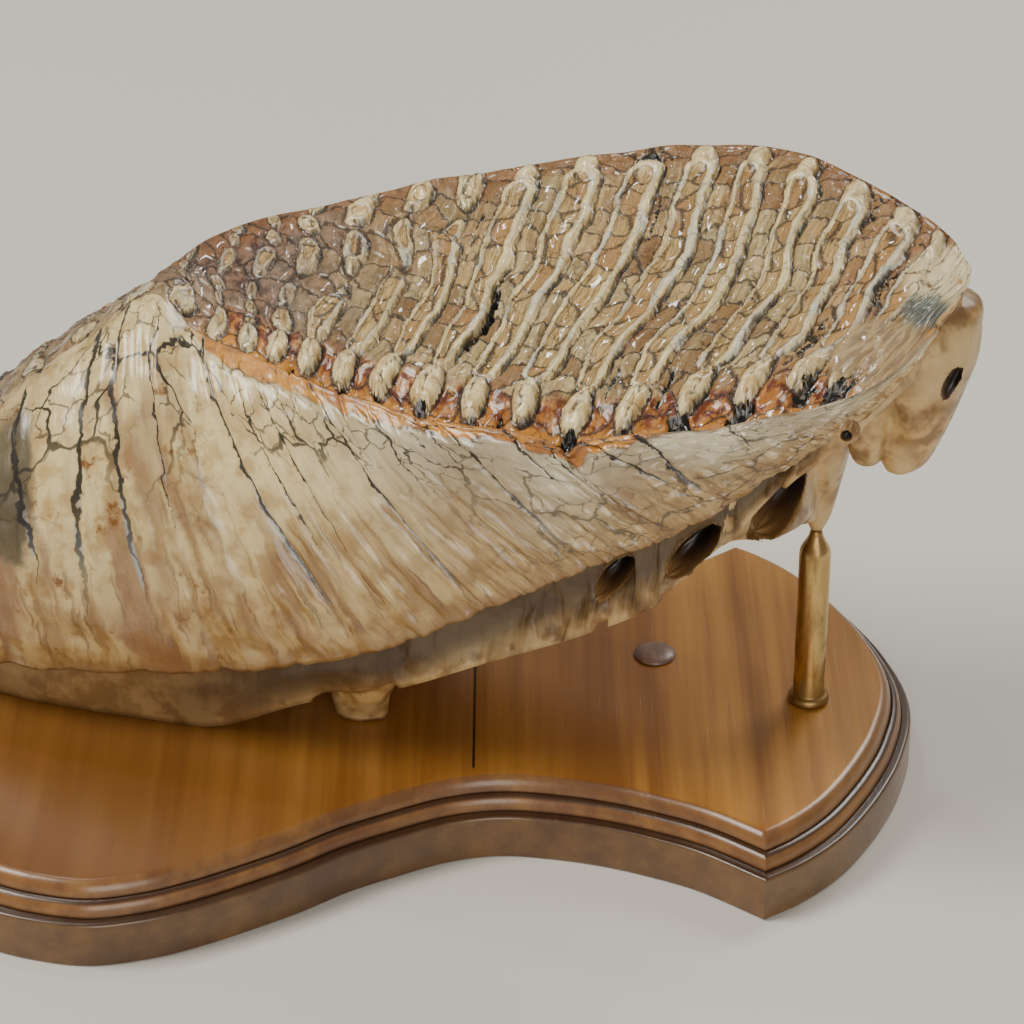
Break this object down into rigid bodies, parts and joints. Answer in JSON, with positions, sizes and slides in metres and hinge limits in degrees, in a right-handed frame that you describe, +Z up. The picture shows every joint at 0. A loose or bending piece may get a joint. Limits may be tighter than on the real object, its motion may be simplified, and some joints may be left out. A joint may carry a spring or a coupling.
{
  "type": "fossil mammoth molar on a stand",
  "caption": "Fossil mammoth molar with a worn, ridged chewing surface and bare roots, resting on a scalloped wooden plaque and an upright brass rod.",
  "frame": {"origin": "middle of the plaque's flat underside", "axes": "+X along the plaque towards the tooth's worn front end, +Y towards the back, +Z up"},
  "size_m": [0.418, 0.191, 0.1597],
  "materials": {
    "fossil_tooth": "polished cream, tan and amber fossil enamel, dentine and cement",
    "plaque_wood": "golden brown varnished wood",
    "rod_brass": "dulled brass",
    "plug_wood": "grey brown satin wood"
  },
  "bodies": {
    "root": {"molar": "fossil_tooth", "plaque": "plaque_wood", "brass_rod": "rod_brass", "plug": "plug_wood"}
  },
  "joints": []
}
